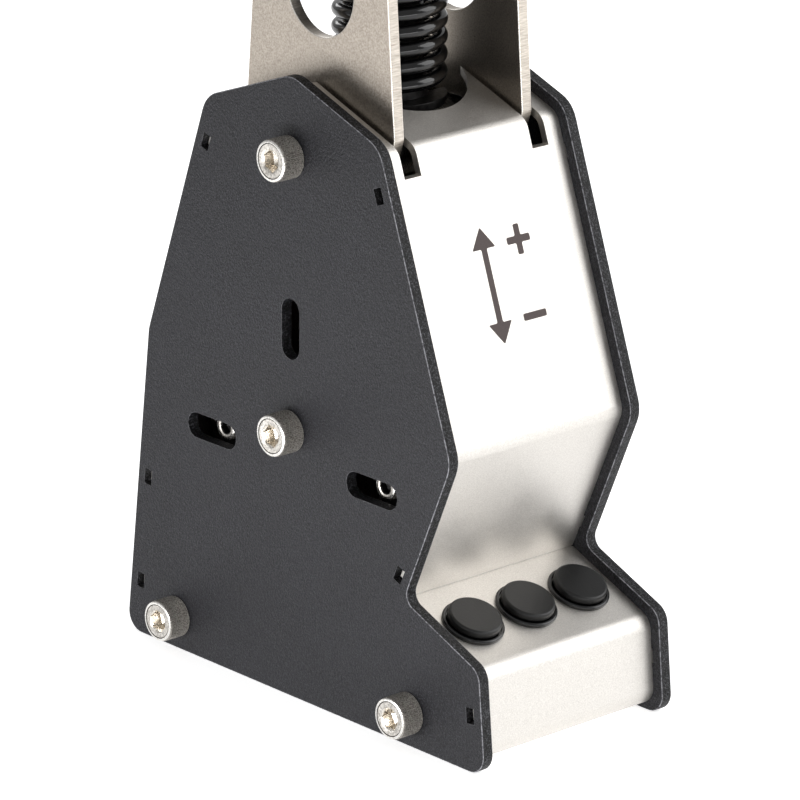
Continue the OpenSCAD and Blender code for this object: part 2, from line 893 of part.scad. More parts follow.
// Cable socket in the rear cover: its own frame has +Z pointing out of the sheet
socket_w = 12;
socket_h = 6.5;
socket_flange_t = 1.5;
socket_depth = 12;
socket_screw_d = 2.5;
socket_screw_dx = 19;
socket_flange_edge = 3;
socket_flange_w = 9;
cable_hole = [9, 3.2, 7];
module on_back() {
    spot = at_height(skin_out[REAR_FOOT], skin_out[REAR_BEND], socket_z);
    run_up = skin_out[REAR_BEND] - skin_out[REAR_FOOT];
    translate([0, spot[0], spot[1]])
        rotate([-atan2(run_up[1], -run_up[0]) + 90, 0, 0])
            rotate([-90, 0, 0])
                children();
}
module socket_hole() {
    translate([-(socket_w + hole_play) / 2, -(socket_h + hole_play) / 2, -2 * cover_t])
        cube([socket_w + hole_play, socket_h + hole_play, 3 * cover_t]);
    for (s = [-1, 1])
        translate([s * socket_screw_dx / 2, 0, -2 * cover_t])
            cylinder(h = 3 * cover_t, d = socket_screw_d + 2 * bite, $fn = 24);
}

module usb_socket() {
    color(blackened)
        on_back()
            difference() {
                union() {
                    translate([-socket_screw_dx / 2 - socket_flange_edge, -socket_flange_w / 2, 0])
                        cube([socket_screw_dx + 2 * socket_flange_edge, socket_flange_w, socket_flange_t]);
                    translate([-socket_w / 2, -socket_h / 2, -socket_depth])
                        cube([socket_w, socket_h, socket_depth + socket_flange_t]);
                }
                translate([-cable_hole[0] / 2, -cable_hole[1] / 2, -cable_hole[2]])
                    cube([cable_hole[0], cable_hole[1], cable_hole[2] + socket_flange_t + over]);
                for (s = [-1, 1])
                    translate([s * socket_screw_dx / 2, 0, -over])
                        cylinder(h = 2 * over + socket_flange_t, d = socket_screw_d + small_play, $fn = 24);
            }
}

socket_head_h = 1.4;
socket_head_d = 4.6;
socket_screw_len = 6;
module socket_screws() {
    color(zinc)
        on_back()
            for (s = [-1, 1])
                translate([s * socket_screw_dx / 2, 0, socket_flange_t]) {
                    cylinder(h = socket_head_h, d = socket_head_d, $fn = 32);
                    translate([0, 0, -socket_screw_len])
                        cylinder(h = socket_screw_len, d = socket_screw_d, $fn = 24);
                }
}

// Buttons: each has its own frame on the panel, with +Z pointing out of it
panel_dir = unit(skin_out[LEDGE] - skin_out[THROAT]);
panel_angle = atan2(-panel_dir[1], -panel_dir[0]);
button_spot = skin_out[THROAT] + panel_dir * button_run;
module on_panel(i) {
    translate([i * button_pitch, button_spot[0], button_spot[1]])
        rotate([panel_angle, 0, 0])
            children();
}
stem_d = 8;
recess_floor = 0.4;
module button_body(i) {
    lip = 0.4;
    color(blackened)
        on_panel(i)
            difference() {
                rotate_extrude($fn = 64)
                    polygon([
                        [0, -barrel_len], [barrel_d / 2, -barrel_len], [barrel_d / 2, 0],
                        [bezel_d / 2, 0], [bezel_d / 2, bezel_h - lip],
                        [bezel_d / 2 - lip, bezel_h], [0, bezel_h]]);
                translate([0, 0, recess_floor])
                    cylinder(h = bezel_h, d = cap_d + 2 * air, $fn = 64);
                translate([0, 0, -stem_len - button_travel - air])
                    cylinder(h = barrel_len, d = stem_d + 2 * air, $fn = 48);
            }
}
stem_len = 6;
module button_cap(i) {
    low = recess_floor + button_travel + 2 * run;
    edge = 0.5;
    color(rubber_black)
        on_panel(i)
            rotate_extrude($fn = 64)
                polygon([
                    [0, -stem_len], [stem_d / 2, -stem_len], [stem_d / 2, low], [cap_d / 2, low],
                    [cap_d / 2, cap_h - edge], [cap_d / 2 - edge, cap_h], [0, cap_h]]);
}

module left_button_body() { button_body(-1); }
module middle_button_body() { button_body(0); }
module right_button_body() { button_body(1); }
module left_button_cap() { button_cap(-1); }
module middle_button_cap() { button_cap(0); }
module right_button_cap() { button_cap(1); }

button_nut_h = 3;
button_nut_wall = 1.5;
module button_nuts() {
    color(zinc)
        for (i = [-1 : 1])
            on_panel(i)
                translate([0, 0, -cover_t - button_nut_h])
                    rotate([0, 0, 30])
                        hex_nut(barrel_d + 2 * button_nut_wall, button_nut_h, barrel_d + 2 * bite);
}

// Lever plate: half outline from the bottom middle up, mirrored; round holes and an axle window
foot_margin = 14;
foot_round = 12;
waist_half = 22;
waist_rise = 28;
waist_round = 14;
neck_half = 25;
neck_drop = 16;
neck_round = 10;
blade_rise = 9;
blade_round = 4;
top_round = 8;
foot_reach = buffer_y + foot_margin;
lever_half = [
    [foot_reach, buffer_z - foot_margin, foot_round],
    [foot_reach, buffer_z + foot_margin, foot_round],
    [waist_half, pivot_z + waist_rise, waist_round],
    [neck_half, detent_z - neck_drop, neck_round],
    [lever_half_low, detent_z + blade_rise, blade_round],
    [lever_half_top, lever_top_z, top_round]
];
lever_points = concat(
    [for (p = lever_half) [p[0], p[1]]],
    [for (p = backwards(lever_half)) [-p[0], p[1]]]);
lever_radii = concat([for (p = lever_half) p[2]], [for (p = backwards(lever_half)) p[2]]);
window_play = 1;
window_len = axle_d + 2 * (detent_z - pivot_z) * sin(tilt) + 2 * window_play;
window_h = axle_d + 2 * window_play;
light_slot_w = 14;
hub_screw_d = 4;
hub_screw_head_d = 7;
hub_screw_circle = bearing_d / 2 + hub_screw_d;
block_screw_d = 6;
block_screw_depth = 10;
block_screw_dy = 18;
block_screw_head_d = 10;
block_screw_z = lever_top_z - block_h / 2;
module lever_plate(x) {
    difference() {
        translate([x, 0, 0])
            upright(lever_t)
                polygon(rounded(lever_points, lever_radii));
        across_x(x - over, 0, pivot_z)
            cylinder(h = lever_t + 2 * over, d = pivot_hole_d, $fn = 64);
        slot_cut(x, lever_t, 0, detent_z, window_len, window_h, 0);
        slot_cut(x, lever_t, 0, upright_slot_z + over, upright_slot_len, light_slot_w, 90);
        across_x(x - over, 0, big_hole_z)
            cylinder(h = lever_t + 2 * over, r = big_hole_r, $fn = 96);
        across_x(x - over, 0, small_hole_z)
            cylinder(h = lever_t + 2 * over, r = small_hole_r, $fn = 96);
        for (sy = [-1, 1]) {
            across_x(x - over, sy * block_screw_dy / 2, block_screw_z)
                cylinder(h = lever_t + 2 * over, d = block_screw_d + hole_play, $fn = 32);
            across_x(x - over, sy * buffer_y, buffer_z)
                cylinder(h = lever_t + 2 * over, d = buffer_screw_d + hole_play, $fn = 32);
        }
        at_hub_screws()
            across_x(x - over, 0, 0)
                cylinder(h = lever_t + 2 * over, d = hub_screw_d + hole_play, $fn = 32);
    }
}
module at_hub_screws() {
    for (a = [90, 210, 330])
        translate([0, hub_screw_circle * cos(a), pivot_z + hub_screw_circle * sin(a)])
            children();
}

module left_lever_plate() {
    color(stainless)
        lever_plate(-lever_out_x);
}

module right_lever_plate() {
    color(stainless)
        lever_plate(lever_x);
}

magnet_d = 8;
magnet_h = 4;
magnet_z = pivot_z - sqrt(pow(hub_d / 2, 2) - pow(magnet_d / 2 + bite, 2));
hub_screw_len = 14;
module pivot_hub() {
    color(zinc)
        difference() {
            across_x(-lever_x, 0, pivot_z)
                cylinder(h = lever_gap, d = hub_d, $fn = 96);
            across_x(-lever_x - over, 0, pivot_z)
                cylinder(h = lever_gap + 2 * over, d = sleeve_d, $fn = 64);
            for (sx = [-1, 1]) {
                across_x(sx > 0 ? lever_x - bearing_w : -lever_x - over, 0, pivot_z)
                    cylinder(h = bearing_w + over, d = bearing_d + 2 * bite, $fn = 64);
                at_hub_screws()
                    across_x(sx > 0 ? lever_x - hub_screw_len : -lever_x - over, 0, 0)
                        cylinder(h = hub_screw_len + over, d = hub_screw_d + 2 * bite, $fn = 32);
            }
            translate([0, 0, magnet_z - magnet_d])
                cylinder(h = magnet_h + magnet_d, d = magnet_d + 2 * bite, $fn = 48);
        }
}

module bearing(x) {
    groove = 0.5;
    color(zinc)
        across_x(x, 0, pivot_z)
            difference() {
                ring(bearing_d, axle_d + 2 * run, bearing_w);
                for (z = [-over, bearing_w - groove])
                    translate([0, 0, z])
                        ring(bearing_d - 3, axle_d + 3, groove + over);
            }
}

module left_bearing() { bearing(-lever_x); }
module right_bearing() { bearing(lever_x - bearing_w); }

module hub_screws() {
    color(zinc)
        for (sx = [-1, 1])
            at_hub_screws()
                across_x(sx * lever_out_x, 0, 0)
                    rotate([0, sx > 0 ? 0 : 180, 0])
                        cap_screw(hub_screw_d, hub_screw_head_d, hub_screw_len, 0.75 * hub_screw_d);
}

// Buffers between the lever's feet
buffer_screw_d = 5;
buffer_screw_head_d = 8.5;
buffer_screw_len = 16;
module buffer(sy) {
    depth = buffer_screw_len - washer_t - lever_t + over;
    color(rubber_black)
        difference() {
            across_x(-lever_x, sy * buffer_y, buffer_z)
                cylinder(h = lever_gap, d = buffer_d, $fn = 64);
            for (sx = [-1, 1])
                across_x(sx > 0 ? lever_x - depth : -lever_x - over, sy * buffer_y, buffer_z)
                    cylinder(h = depth + over, d = buffer_screw_d + 2 * bite, $fn = 32);
        }
}

module front_buffer() { buffer(-1); }
module rear_buffer() { buffer(1); }

module buffer_washers() {
    color(rubber_black)
        for (sx = [-1, 1], sy = [-1, 1])
            across_x(sx > 0 ? lever_out_x : -lever_out_x - washer_t, sy * buffer_y, buffer_z)
                ring(buffer_d, buffer_screw_d + hole_play, washer_t);
}

module buffer_screws() {
    color(zinc)
        for (sx = [-1, 1], sy = [-1, 1])
            across_x(sx * (lever_out_x + washer_t), sy * buffer_y, buffer_z)
                rotate([0, sx > 0 ? 0 : 180, 0])
                    cap_screw(buffer_screw_d, buffer_screw_head_d, buffer_screw_len, 0.8 * buffer_screw_d);
}

module sensor_magnet() {
    color(zinc)
        translate([0, 0, magnet_z])
            cylinder(h = magnet_h, d = magnet_d, $fn = 48);
}

// Plunger: rim for the spring, raised middle with a notch underneath, sleeve that slides on the guide rod
rod_low_gap = plunger_travel + 1.5;
sleeve_side = 4;
sleeve_floor = 5;
module plunger() {
    bore_low_z = plunger_mid_z + sleeve_floor;
    color(blackened)
        difference() {
            union() {
                translate([0, 0, rim_top_z - rim_t])
                    cylinder(h = rim_t, d = rim_d, $fn = 96);
                translate([0, 0, rim_top_z - rim_t])
                    cylinder(h = plunger_mid_z - rim_top_z + rim_t, d = plunger_mid_d, $fn = 96);
                translate([0, 0, plunger_mid_z - over])
                    cylinder(h = sleeve_h + over, d = rod_d + 2 * sleeve_side, $fn = 64);
            }
            translate([-rim_d, 0, 0])
                upright(2 * rim_d)
                    polygon([
                        [-rim_d, notch_z - rim_d * tan(notch_angle)], [0, notch_z],
                        [rim_d, notch_z - rim_d * tan(notch_angle)], [0, notch_z - 2 * rim_d]]);
            translate([0, 0, bore_low_z])
                cylinder(h = sleeve_h, d = rod_d + 2 * run, $fn = 64);
        }
}

// Coil spring: one unbroken tube along a helix, with straight-cut ends
SIDES = 6;
RINGS = 8;
coil_r = (spring_d - wire_d) / 2;
plunger_mid_d = 2 * coil_r * cos(180 / RINGS) - wire_d - 2 * air;
function coil_point(turn) = [
    coil_r * cos(360 * turn), coil_r * sin(360 * turn),
    spring_low_z + wire_d / 2 + spring_pitch * turn];
function coil_ring(turn) =
    let (out = [cos(360 * turn), sin(360 * turn), 0])
    let (rise = atan2(spring_pitch, 2 * PI * coil_r))
    let (up = [sin(360 * turn) * sin(rise), -cos(360 * turn) * sin(rise), cos(rise)])
    [for (k = [0 : SIDES - 1])
        let (a = 360 * (k + 0.5) / SIDES)
        coil_point(turn) + wire_d / 2 * (cos(a) * out + sin(a) * up)];
coil_rings = curls * RINGS;
coil_points = [for (i = [0 : coil_rings]) each coil_ring(i / RINGS)];
coil_faces = concat(
    [[for (k = [0 : SIDES - 1]) k]],
    [for (i = [0 : coil_rings - 1], k = [0 : SIDES - 1])
        each
            let (a = i * SIDES + k, b = i * SIDES + (k + 1) % SIDES)
            [[a, a + SIDES, b], [b, a + SIDES, b + SIDES]]],
    [[for (k = [SIDES - 1 : -1 : 0]) coil_rings * SIDES + k]]);
coil_gap = min([for (i = [0 : RINGS], p = coil_ring(1), q = coil_ring(1 + (RINGS - 2 + i / 2) / RINGS))
    norm(p - q)]);
module spring() {
    echo(least_gap_of_the_coil_to_itself = coil_gap);
    color(blackened)
        polyhedron(coil_points, coil_faces, convexity = 10);
}

module guide_rod() {
    low_z = plunger_mid_z + sleeve_floor + rod_low_gap;
    color(zinc)
        translate([0, 0, low_z])
            cylinder(h = block_z + rod_seat - low_z, d = rod_d, $fn = 64);
}
rod_seat = 12;

module upper_spring_seat() {
    boss_h = 4;
    color(blackened)
        difference() {
            union() {
                translate([0, 0, seat_z])
                    cylinder(h = seat_t, d = spring_d, $fn = 96);
                translate([0, 0, seat_z - boss_h])
                    cylinder(h = boss_h + over, d = spring_d - 2 * wire_d - 4, $fn = 64);
            }
            translate([0, 0, seat_z - boss_h - over])
                cylinder(h = seat_t + boss_h + 2 * over, d = rod_d + 2 * bite, $fn = 64);
        }
}

module preload_nut() {
    notches = 12;
    color(blackened)
        translate([0, 0, nut_z])
            difference() {
                ring(nut_d, rod_d + 2 * run, nut_h);
                for (i = [0 : notches - 1])
                    rotate([0, 0, 360 * i / notches])
                        translate([nut_d / 2 + 0.8, 0, -over])
                            cylinder(h = nut_h + 2 * over, d = 5, $fn = 24);
            }
}

module top_block() {
    color(zinc)
        difference() {
            translate([-lever_x, -block_depth / 2, block_z])
                cube([lever_gap, block_depth, block_h]);
            translate([0, 0, block_z - over])
                cylinder(h = rod_seat + over, d = rod_d + 2 * bite, $fn = 64);
            translate([0, 0, lever_top_z - rod_seat])
                cylinder(h = rod_seat + over, d = shaft_d + 2 * bite, $fn = 64);
            for (sx = [-1, 1], sy = [-1, 1])
                across_x(sx > 0 ? lever_x - block_screw_depth : -lever_x - over,
                    sy * block_screw_dy / 2, block_screw_z)
                    cylinder(h = block_screw_depth + over, d = block_screw_d + 2 * bite, $fn = 32);
        }
}

module top_block_screws() {
    color(zinc)
        for (sx = [-1, 1], sy = [-1, 1])
            across_x(sx * lever_out_x, sy * block_screw_dy / 2, block_screw_z)
                rotate([0, sx > 0 ? 0 : 180, 0])
                    cap_screw(block_screw_d, block_screw_head_d, lever_t + block_screw_depth - over, 5);
}

stud_d = 12;
stud_len = 24;
jam_h = 7;
module lever_shaft() {
    color(zinc)
        union() {
            translate([0, 0, lever_top_z - rod_seat])
                cylinder(h = rod_seat + shaft_rise, d = shaft_d, $fn = 64);
            translate([0, 0, shaft_top_z - over])
                cylinder(h = stud_len + over, d = stud_d, $fn = 64);
        }
}

jam_across = 18;
module jam_nut() {
    color(zinc)
        translate([0, 0, shaft_top_z])
            hex_nut(jam_across, jam_h, stud_d + 2 * bite);
}

// Knob: a waisted grip with a domed top, turned from one profile
grip_gap = 4;
module shift_knob() {
    low_z = shaft_top_z + jam_h;
    r = knob_d / 2;
    foot = 0.66 * r;
    waist = 0.6 * r;
    waist_z = 0.19 * knob_h;
    dome = 0.5714 * r;
    color(rubber_black)
        translate([0, 0, low_z])
            difference() {
                rotate_extrude($fn = 96)
                    polygon(concat(
                        [[0, 0], [foot - 1, 0], [foot, 1], [foot, 5]],
                        [for (k = [0 : 8])
                            let (t = k / 8)
                            [waist + (r - waist) * (1 - cos(180 * t)) / 2,
                                waist_z + (knob_h - dome - waist_z - grip_gap) * t]],
                        [for (k = [0 : 8])
                            let (a = 90 * k / 8)
                            [r - dome + dome * cos(a), knob_h - dome + dome * sin(a)]],
                        [[0, knob_h]]));
                translate([0, 0, -over])
                    cylinder(h = stud_len - jam_h + 2 * over, d = stud_d + 2 * bite, $fn = 64);
            }
}

left_side_plate();
right_side_plate();
front_cover();
button_cover();
rear_cover();
base_plate();
base_screws();
mount_nuts();
front_cross_bar();
rear_cross_bar();
left_bolts();
right_bolts();
pivot_axle();
pivot_sleeves();
detent_axle();
detent_collars();
front_stop_post();
rear_stop_post();
post_screws();
stop_screws();
stop_lock_nuts();
sensor_bracket();
sensor_spacers();
sensor_screws();
sensor_board();
controller_board();
board_standoffs();
board_screws();
usb_socket();
socket_screws();
left_button_body();
middle_button_body();
right_button_body();
button_nuts();
left_button_cap();
middle_button_cap();
right_button_cap();
detent_roller();
left_lever_plate();
right_lever_plate();
pivot_hub();
left_bearing();
right_bearing();
hub_screws();
front_buffer();
rear_buffer();
buffer_washers();
buffer_screws();
sensor_magnet();
plunger();
spring();
guide_rod();
upper_spring_seat();
preload_nut();
top_block();
top_block_screws();
lever_shaft();
jam_nut();
shift_knob();
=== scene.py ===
"""Looks of a sim racing gear shifter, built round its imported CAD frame.

Metres, in the CAD's own frame: x across the housing, y towards the rear, z up.
"""
import json
import math

import bmesh
import bpy
from mathutils import Matrix, Vector


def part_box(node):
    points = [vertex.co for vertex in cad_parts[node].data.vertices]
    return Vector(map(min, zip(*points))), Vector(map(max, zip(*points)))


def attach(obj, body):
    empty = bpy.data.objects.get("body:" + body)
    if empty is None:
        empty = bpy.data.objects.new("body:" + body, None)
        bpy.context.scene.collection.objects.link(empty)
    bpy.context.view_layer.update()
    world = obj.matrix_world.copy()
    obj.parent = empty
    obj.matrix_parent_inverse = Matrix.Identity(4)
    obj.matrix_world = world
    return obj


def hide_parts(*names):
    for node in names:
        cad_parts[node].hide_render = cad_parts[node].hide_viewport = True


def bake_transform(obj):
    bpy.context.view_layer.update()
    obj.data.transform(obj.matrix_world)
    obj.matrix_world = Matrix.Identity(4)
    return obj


MM = 0.001

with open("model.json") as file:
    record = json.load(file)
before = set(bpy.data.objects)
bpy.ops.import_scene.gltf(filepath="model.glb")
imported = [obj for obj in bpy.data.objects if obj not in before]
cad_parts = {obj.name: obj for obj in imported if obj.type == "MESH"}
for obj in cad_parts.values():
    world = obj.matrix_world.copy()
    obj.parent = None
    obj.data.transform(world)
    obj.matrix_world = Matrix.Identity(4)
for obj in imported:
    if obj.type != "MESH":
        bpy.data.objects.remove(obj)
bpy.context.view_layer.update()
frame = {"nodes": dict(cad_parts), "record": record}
nodes = frame["nodes"]
body_of = {n: b for b, members in frame["record"]["behaviour"]["bodies"].items() for n in members}
slot_of = {part["node"]: part["material_slot"] for part in frame["record"]["subparts"]}
scene = bpy.context.scene


# ---------------------------------------------------------------- camera, floor, lights
# The camera solved from the photograph
CAMERA_PLACE = Vector((-1.01912, -1.12467, 0.59475))
CAMERA_RIGHT = Vector((0.740856, -0.671625, 0.007180))
CAMERA_DOWN = Vector((-0.208171, -0.239766, -0.948250))
CAMERA_FORWARD = Vector((0.638590, 0.701022, -0.317445))
FOCAL_LENGTH, SENSOR_WIDTH = 236.43, 36.0

# The floor lies just under the feet of the side plates, which stand at height 0
FLOOR_SIZE, FLOOR_DROP, FLOOR_GLOW = 8, 0.1 * MM, 0.66
WORLD_STRENGTH = 0.5

# Name, place, target, width and height, power in watts
LIGHTS = (
    ("key", (1.0, -0.75, 0.72), (0, -0.04, 0.12), (1.3, 1.2), 14),
    ("front", (-0.95, -1.35, 0.62), (0, 0, 0.1), (0.35, 0.35), 1.6),
    ("left_low", (-0.34, -0.02, 0.02), (-0.04, -0.01, 0.05), (0.3, 0.06), 1.0),
    ("left_far", (-0.9, 0.25, 0.1), (0, 0, 0.06), (1.0, 0.4), 0.3),
    ("slope_fill", (-0.12, -1.3, 0.03), (0, -0.04, 0.08), (0.9, 0.25), 2.3),
    ("roof_back", (0.5, 1.2, 0.75), (0, 0, 0.18), (0.8, 0.4), 3.0),
)


def add_camera():
    data = bpy.data.cameras.new("camera")
    data.lens = FOCAL_LENGTH
    data.sensor_width = SENSOR_WIDTH
    data.clip_end = 50.0
    pose = Matrix.Identity(4)
    for col, axis in enumerate((CAMERA_RIGHT, -CAMERA_DOWN, -CAMERA_FORWARD)):
        for row in range(3):
            pose[row][col] = axis[row]
    pose.translation = CAMERA_PLACE
    camera = bpy.data.objects.new("camera", data)
    camera.matrix_world = pose
    scene.collection.objects.link(camera)
    scene.camera = camera


def area_light(name, place, target, size, power):
    data = bpy.data.lights.new(name, "AREA")
    data.shape = "RECTANGLE"
    data.size, data.size_y = size
    data.energy = power
    lamp = bpy.data.objects.new(name, data)
    lamp.location = place
    lamp.rotation_euler = (Vector(target) - Vector(place)).to_track_quat("-Z", "Y").to_euler()
    lamp.visible_camera = False
    scene.collection.objects.link(lamp)


def add_floor():
    bpy.ops.mesh.primitive_plane_add(size=FLOOR_SIZE, location=(0, 0, -FLOOR_DROP))
    floor = bpy.context.object
    floor.name = "floor"
    floor.data.materials.append(MATS["pale_floor"])


def light_the_studio():
    world = bpy.data.worlds.new("studio")
    world.use_nodes = True
    background = world.node_tree.nodes["Background"]
    background.inputs["Color"].default_value = (1, 1, 1, 1)
    background.inputs["Strength"].default_value = WORLD_STRENGTH
    scene.world = world
    scene.view_settings.view_transform = "Standard"
    for light in LIGHTS:
        area_light(*light)


# ---------------------------------------------------------------- materials
MATS = {}


class Nodes:
    """Shorthand for one node material on a Principled surface, kept in MATS under its name."""

    SOCKETS = {"colour": "Base Color", "rough": "Roughness", "metal": "Metallic",
               "specular": "Specular IOR Level", "coat": "Coat Weight",
               "coat_rough": "Coat Roughness", "normal": "Normal"}

    def __init__(self, name):
        MATS[name] = bpy.data.materials.new(name)
        MATS[name].use_nodes = True
        self.tree = MATS[name].node_tree
        self.shader = self.tree.nodes["Principled BSDF"]
        self.coords = self.tree.nodes.new("ShaderNodeTexCoord").outputs["Object"]

    def link(self, a, b):
        self.tree.links.new(a, b)

    def noise(self, scale, detail=2.0, rough=0.5, stretch=None, turn=None):
        """Noise from 0 to 1, its space first turned and stretched where that is given."""
        n = self.tree.nodes.new("ShaderNodeTexNoise")
        n.inputs["Scale"].default_value = scale
        n.inputs["Detail"].default_value = detail
        n.inputs["Roughness"].default_value = rough
        vector = self.coords
        if stretch:
            m = self.tree.nodes.new("ShaderNodeMapping")
            m.inputs["Scale"].default_value = stretch
            if turn:
                m.inputs["Rotation"].default_value = turn
            self.link(vector, m.inputs["Vector"])
            vector = m.outputs["Vector"]
        self.link(vector, n.inputs["Vector"])
        return n.outputs["Fac"]

    def band(self, value, low, high, a=0.3, b=0.7):
        """Runs from low to high while the value runs from a to b."""
        n = self.tree.nodes.new("ShaderNodeMapRange")
        n.inputs["From Min"].default_value = a
        n.inputs["From Max"].default_value = b
        n.inputs["To Min"].default_value = low
        n.inputs["To Max"].default_value = high
        self.link(value, n.inputs["Value"])
        return n.outputs["Result"]

    def mix(self, factor, a, b):
        n = self.tree.nodes.new("ShaderNodeMix")
        n.data_type = "RGBA"
        for socket, value in (("A", a), ("B", b)):
            spot = [i for i in n.inputs if i.name == socket and i.type == "RGBA"][0]
            if isinstance(value, tuple):
                spot.default_value = value + (1.0,)
            else:
                self.link(value, spot)
        self.link(factor, n.inputs["Factor"])
        return [o for o in n.outputs if o.type == "RGBA"][0]

    def tones(self, value, low, high, a=0.3, b=0.7):
        """A colour from low to high while the value runs from a to b."""
        return self.mix(self.band(value, 0, 1, a, b), srgb(low), srgb(high))

    def math(self, op, a, b):
        n = self.tree.nodes.new("ShaderNodeMath")
        n.operation = op
        for i, v in enumerate((a, b)):
            if isinstance(v, (int, float)):
                n.inputs[i].default_value = v
            else:
                self.link(v, n.inputs[i])
        return n.outputs["Value"]

    def add(self, a, b):
        return self.math("ADD", a, b)

    def subtract(self, a, b):
        return self.math("SUBTRACT", a, b)

    def multiply(self, a, b):
        return self.math("MULTIPLY", a, b)

    def bump(self, height, distance, strength):
        n = self.tree.nodes.new("ShaderNodeBump")
        n.inputs["Distance"].default_value = distance
        n.inputs["Strength"].default_value = strength
        self.link(height, n.inputs["Height"])
        return n.outputs["Normal"]

    def sideways(self):
        """How far the surface faces left or right, from 0 to 1."""
        g = self.tree.nodes.new("ShaderNodeNewGeometry")
        s = self.tree.nodes.new("ShaderNodeSeparateXYZ")
        self.link(g.outputs["Normal"], s.inputs["Vector"])
        return self.math("ABSOLUTE", s.outputs["X"], 0.0)

    def set(self, **values):
        for key, value in values.items():
            spot = self.shader.inputs[self.SOCKETS[key]]
            if isinstance(value, (int, float)):
                spot.default_value = value
            else:
                self.link(value, spot)


def srgb(code):
    parts = [int(code[i:i + 2], 16) / 255 for i in (1, 3, 5)]
    return tuple(c / 12.92 if c <= 0.04045 else ((c + 0.055) / 1.055) ** 2.4 for c in parts)


def grained(name, low, high, rough, scale, depth, strength, noise=(3, 0.6), **constants):
    """One even grain that sets colour, roughness and relief; noise is its detail and roughness."""
    n = Nodes(name)
    grain = n.noise(scale, *noise)
    n.set(colour=n.tones(grain, low, high), rough=n.band(grain, *rough),
          normal=n.bump(grain, depth, strength), **constants)


def turned_metal(name, low, high, rough, stretch):
    """Bare metal with the fine rings of a lathe tool, close together along one axis."""
    n = Nodes(name)
    rings = n.noise(1.0, 2, 0.5, stretch=stretch)
    n.set(colour=n.tones(rings, low, high), metal=1.0, rough=n.band(rings, *rough),
          normal=n.bump(rings, 0.00004, 0.4))


def graphite_coat():
    """Fine-textured powder coat: darker on the cut edges, with a painted highlight line along the
    rounded corners.
    """
    n = Nodes("graphite_coat")
    fine = n.noise(1300, 3, 0.65)
    cloud = n.noise(28, 3)
    specks = n.band(n.noise(2100, 2, 0.6), 0, 1, 0.48, 0.66)
    sideways = n.sideways()
    cut = n.band(sideways, 1, 0, 0.15, 0.35)
    # corner: where the rounded corners get a painted highlight, broken up by noise
    corner = n.multiply(n.band(sideways, 0, 1, 0.30, 0.50), n.band(sideways, 1, 0, 0.84, 0.96))
    corner = n.multiply(corner, n.band(n.noise(900, 3, 0.6), 0.2, 1, 0.38, 0.56))
    flat = n.mix(specks, n.tones(cloud, "#0f0f12", "#131317"), srgb("#343439"))
    # The light grey on the corners is a painted highlight
    with_painted_highlight = n.mix(corner, flat, srgb("#8c8c91"))
    grit = n.tones(n.noise(1900, 2, 0.6), "#040405", "#424246", 0.52, 0.64)
    n.set(
        colour=n.mix(cut, with_painted_highlight, grit),
        rough=n.subtract(n.band(fine, 0.38, 0.60), n.multiply(corner, 0.15)),
        specular=0.24, normal=n.bump(fine, 0.0007, 0.7))


def blasted_stainless():
    """Bead-blasted stainless sheet."""
    n = Nodes("blasted_stainless")
    grain = n.noise(2600, 2, 0.6)
    cloud = n.noise(55, 4, 0.6)
    n.set(
        colour=n.tones(grain, "#c7c3be", "#dfdcd7"), metal=1.0,
        rough=n.add(n.band(grain, 0.36, 0.50), n.band(cloud, -0.03, 0.05)),
        normal=n.bump(grain, 0.00009, 0.5))


def lever_stainless():
    """Tumbled stainless: striations on the cut edges, and painted highlight lines along the
    corners.
    """
    n = Nodes("lever_stainless")
    grain = n.noise(1900, 3, 0.65)
    cloud = n.noise(60, 4, 0.6)
    cut = n.noise(1.0, 2, 0.5, stretch=(260, 3800, 3800), turn=(0.35, 0, 0))
    sideways = n.sideways()
    # corner: where the rounded corners get a painted highlight
    corner = n.multiply(n.band(sideways, 0, 1, 0.2, 0.4), n.band(sideways, 1, 0, 0.86, 0.97))
    sheet = n.mix(n.band(sideways, 0, 1, 0.45, 0.6), n.tones(cut, "#9c948a", "#c8c1b8"),
                  n.tones(grain, "#92897f", "#c0b7ac"))
    rough = n.add(n.band(grain, 0.28, 0.42), n.band(cloud, -0.02, 0.04))
    relief = n.add(n.multiply(grain, 0.5), n.multiply(cut, 0.5))
    # The near-white on the corners is a painted highlight
    n.set(
        colour=n.mix(corner, sheet, srgb("#f7f3ec")), metal=1.0,
        rough=n.subtract(rough, n.multiply(corner, 0.1)), normal=n.bump(relief, 0.00008, 0.5))


def zinc_screws():
    """Zinc plate, bright on the faces and duller on the knurled sides."""
    n = Nodes("zinc_screws")
    spots = n.noise(2400, 2, 0.5)
    blots = n.noise(2600, 3, 0.7)
    side = n.band(n.sideways(), 1, 0, 0.25, 0.5)
    bright = n.tones(spots, "#cbc8c3", "#f2f0ec", 0.35, 0.6)
    dull = n.tones(blots, "#6e6a64", "#c9c4bd", 0.4, 0.6)
    n.set(
        colour=n.mix(side, bright, dull), metal=n.subtract(1.0, n.multiply(side, 0.35)),
        rough=n.add(n.band(blots, 0.15, 0.27), n.multiply(side, 0.22)),
        normal=n.bump(blots, 0.00006, 0.4))


def screw_dish():
    """The greyer dished faces of the screws, inside their turned ring."""
    n = Nodes("screw_dish")
    spots = n.noise(1500, 3, 0.65)
    n.set(
        colour=n.tones(spots, "#a5a19b", "#d4d0ca", 0.4, 0.6), metal=1.0,
        rough=n.band(spots, 0.26, 0.42), normal=n.bump(spots, 0.00004, 0.5))


def groove_painted_shade():
    """Painted shade in the turned groove in the screws' faces: a dark colour where the groove's
    shadow falls.
    """
    n = Nodes("groove_painted_shade")
    spots = n.noise(1500, 2, 0.5)
    n.set(colour=n.tones(spots, "#2e2a26", "#57514b"), metal=0.6, rough=n.band(spots, 0.4, 0.6))


